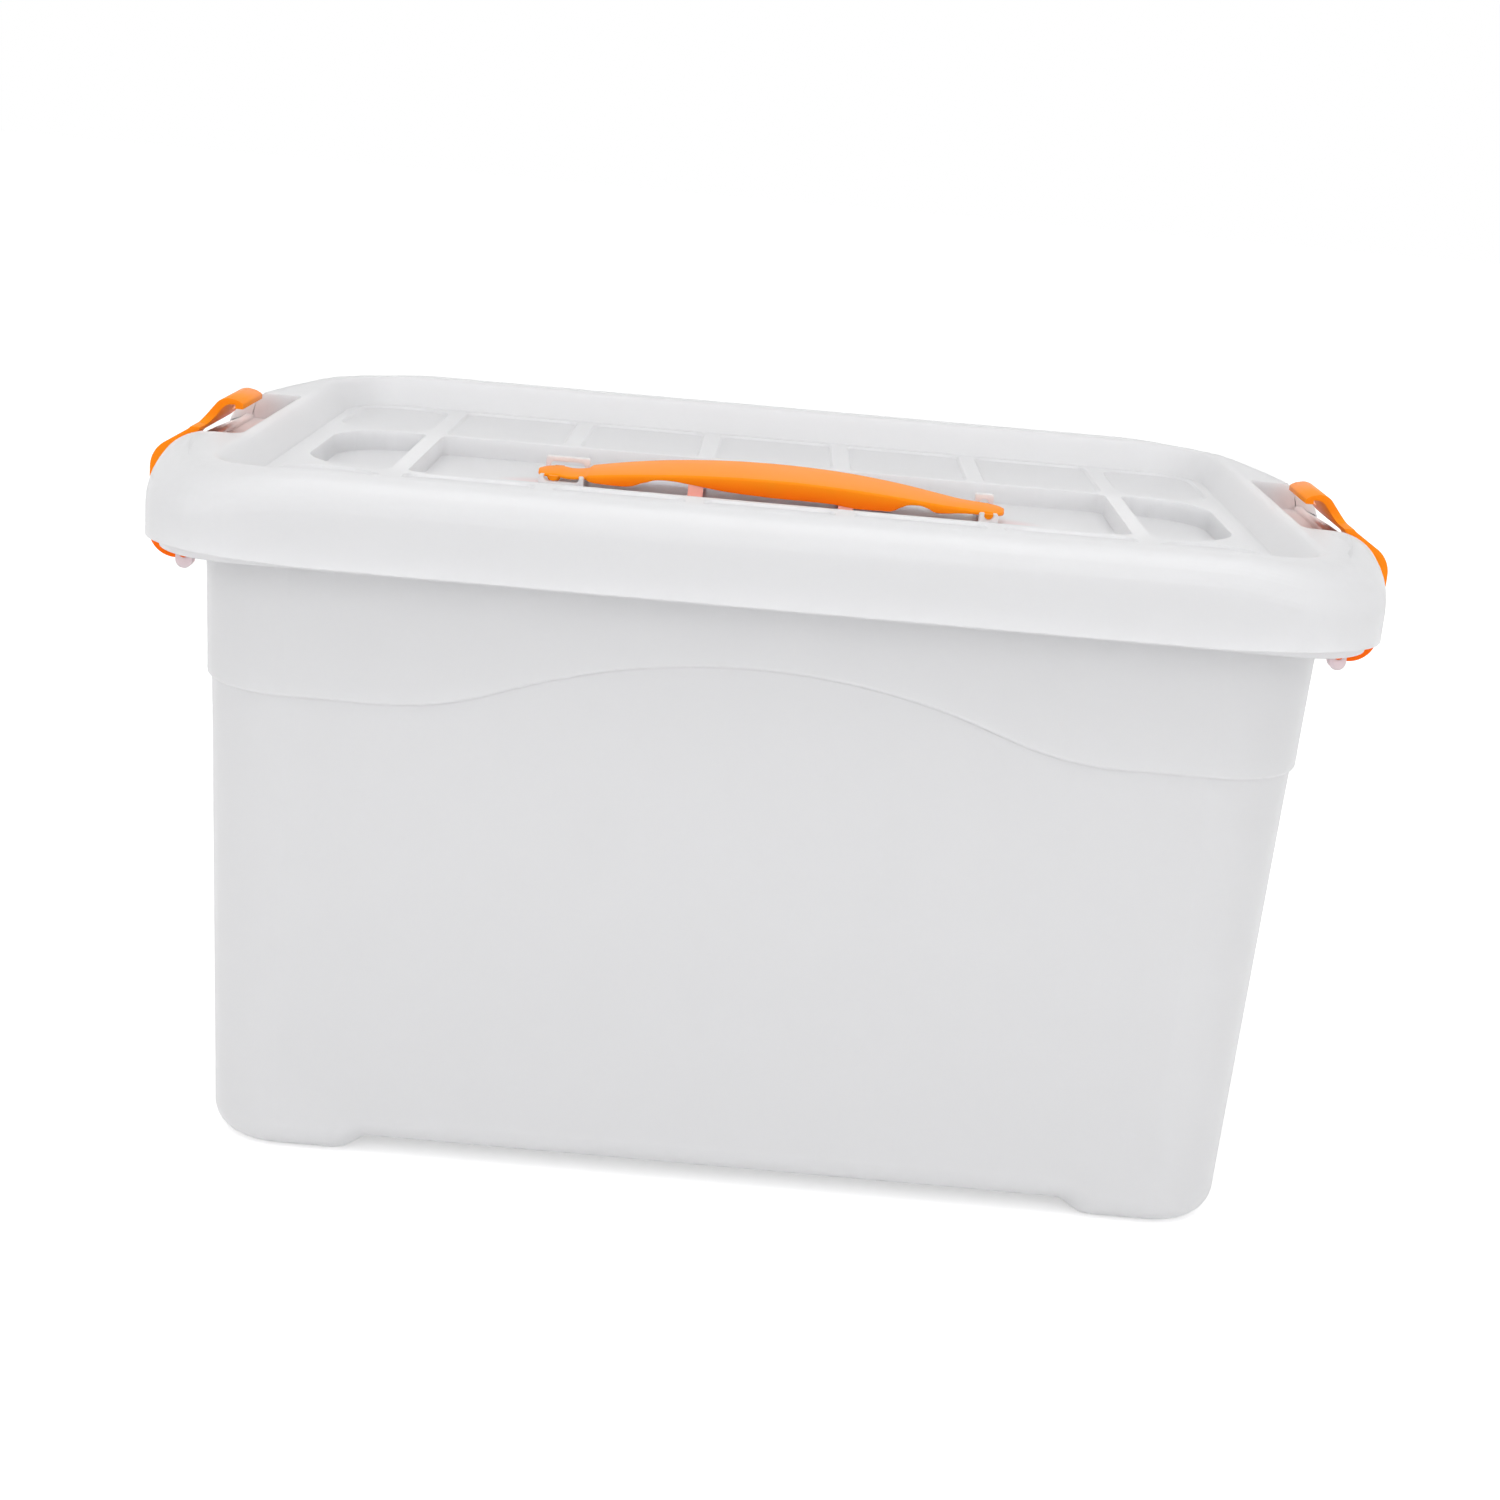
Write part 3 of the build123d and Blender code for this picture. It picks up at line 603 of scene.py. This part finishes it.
def studioFloor():
    half = studio["floorHalf"]
    mesh = bpy.data.meshes.new("floor")
    corners = [(-half, -half, 0), (half, -half, 0), (half, half, 0), (-half, half, 0)]
    mesh.from_pydata(corners, [], [(0, 1, 2, 3)])
    floor = bpy.data.objects.new("floor", mesh)
    bpy.context.collection.objects.link(floor)
    material, tree = newMaterial("white studio floor")
    paper = addNode(tree, "ShaderNodeBsdfDiffuse", {"Color": srgb(studio["floorColour"])})
    fill = addNode(tree, "ShaderNodeMath", {"operation": "MULTIPLY", 1: studio["floorFill"]},
                   {0: seenDirectly(tree)})
    glow = addNode(tree, "ShaderNodeEmission", {"Color": (1, 1, 1, 1)}, {"Strength": fill.outputs[0]})
    both = addNode(tree, "ShaderNodeAddShader", {}, {0: paper.outputs[0], 1: glow.outputs[0]})
    addNode(tree, "ShaderNodeOutputMaterial", {}, {"Surface": both.outputs[0]})
    mesh.materials.append(material)


def studioWorld():
    world = bpy.data.worlds.new("white studio")
    bpy.context.scene.world = world
    world.use_nodes = True
    tree = world.node_tree
    tree.nodes.clear()
    level = addNode(tree, "ShaderNodeMapRange", {"To Min": studio["worldLight"], "To Max": 1.0},
                    {"Value": seenDirectly(tree)})
    sky = addNode(tree, "ShaderNodeBackground", {"Color": (1, 1, 1, 1)},
                  {"Strength": level.outputs["Result"]})
    addNode(tree, "ShaderNodeOutputWorld", {}, {"Surface": sky.outputs["Background"]})


# Softboxes: name, place, point aimed at, size, power
softboxes = [
    ("topBox", (0.0, -0.3, 1.5), (0.0, 0.0, 0.15), 1.2, 8.0),
    ("leftBox", (-1.2, -1.1, 0.8), (0.0, 0.0, 0.12), 1.0, 3.0),
    ("rightBox", (1.4, -0.8, 0.8), (0.0, 0.0, 0.12), 1.0, 1.5),
    ("frontBox", (0.2, -1.7, 0.5), (0.0, 0.0, 0.12), 1.6, 9.5),
]


def studioLights():
    for name, place, aim, size, power in softboxes:
        lamp = bpy.data.lights.new(name, "AREA")
        lamp.size = size
        lamp.energy = power
        holder = bpy.data.objects.new(name, lamp)
        bpy.context.collection.objects.link(holder)
        holder.location = place
        holder.rotation_euler = (Vector(aim) - Vector(place)).to_track_quat("-Z", "Y").to_euler()


# Camera: close, looking down a little and rolled, as the photograph was taken
view = {"place": (0.0005, -0.7245, 0.307), "pitch": 15.5, "roll": 5.07, "focalPixels": 2402.0,
        "framePixels": 1500.0, "sensor": 36.0, "nearest": 0.01}


def studioCamera():
    data = bpy.data.cameras.new("camera")
    data.sensor_width = view["sensor"]
    data.lens = view["focalPixels"] / view["framePixels"] * data.sensor_width
    data.clip_start = view["nearest"]
    camera = bpy.data.objects.new("camera", data)
    bpy.context.collection.objects.link(camera)
    pitched = Matrix.Rotation(math.radians(90 - view["pitch"]), 4, "X")
    rolled = Matrix.Rotation(math.radians(view["roll"]), 4, "Z")
    camera.matrix_world = Matrix.Translation(view["place"]) @ pitched @ rolled
    bpy.context.scene.camera = camera


studioFloor()
studioWorld()
studioLights()
studioCamera()
bpy.context.scene.view_settings.view_transform = "Standard"
print("studio done")
